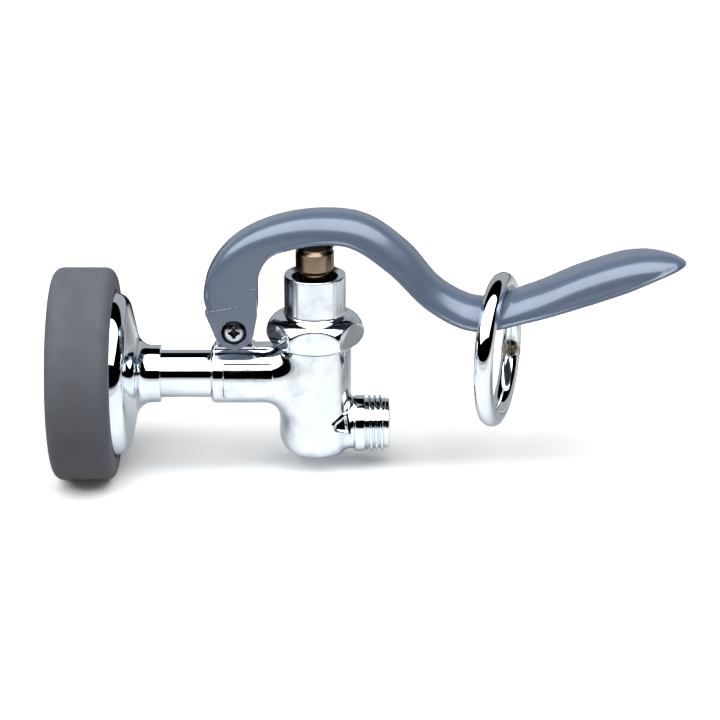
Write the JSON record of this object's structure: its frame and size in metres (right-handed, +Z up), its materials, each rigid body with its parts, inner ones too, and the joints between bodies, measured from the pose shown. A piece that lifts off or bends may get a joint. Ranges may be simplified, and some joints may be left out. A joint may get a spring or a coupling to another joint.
{
  "type": "pre-rinse faucet spray valve",
  "caption": "Squeeze spray valve of a pre-rinse faucet: flared spray head with a rubber bumper, cast body, sprung plunger, coated lever and hold-down ring.",
  "frame": {"origin": "centre of the hose inlet's end face", "axes": "+X out of the hose inlet, away from the spray face, -X along the spray; +Z up along the plunger, towards the lever; Y = 0 is the plane of symmetry"},
  "size_m": [0.2096, 0.0712, 0.0931],
  "materials": {
    "chrome": "bright polished plating",
    "coating": "smooth glossy blue-grey coating",
    "bumper_rubber": "matt grey",
    "seal_rubber": "matt black",
    "cap_bronze": "turned, bare, browned",
    "inner_brass": "turned, bare",
    "steel": "bright stainless"
  },
  "bodies": {
    "valve": {"valve_body": "chrome", "outlet_tube": "chrome", "spray_bell": "chrome", "spray_face_gasket": "seal_rubber", "spray_face": "steel", "spray_face_screw": "steel", "bumper_ring": "bumper_rubber", "bonnet": "chrome", "bonnet_gasket": "seal_rubber", "packing_nut": "inner_brass", "packing_washer": "inner_brass", "stem_ring_lower": "seal_rubber", "stem_ring_upper": "seal_rubber", "valve_seat": "inner_brass", "seat_ring": "seal_rubber", "return_spring": "steel"},
    "squeeze_lever": {"lever": "coating", "pivot_screw": "steel", "pivot_nut": "steel"},
    "plunger": {"plunger_cap": "cap_bronze", "valve_stem": "inner_brass", "seat_washer": "seal_rubber", "washer_retainer": "inner_brass", "washer_screw": "steel"},
    "ring": {"hold_ring": "chrome"}
  },
  "joints": [
    {"name": "lever_pivot", "type": "hinge", "parent": "valve", "child": "squeeze_lever", "pos_m": [-0.0515, 0, 0.0352], "axis": [0, 1, 0], "range_deg": [0, 10.5], "stiffness_Nm_per_rad": 2, "springref_deg": -14.32},
    {"name": "plunger_slide", "type": "slide", "parent": "valve", "child": "plunger", "axis": [0, 0, 1], "range_m": [-0.0053, 0.0002], "deforming": ["return_spring"]},
    {"name": "ring_swing", "type": "hinge", "parent": "squeeze_lever", "child": "ring", "pos_m": [0.03609, 0, 0.04922], "axis": [0.2588, 0.9659, 0], "range_deg": [-40, 35]}
  ],
  "couplings": [
    {"joint": "plunger_slide", "follows": "lever_pivot", "m_per_rad": -0.0274}
  ]
}
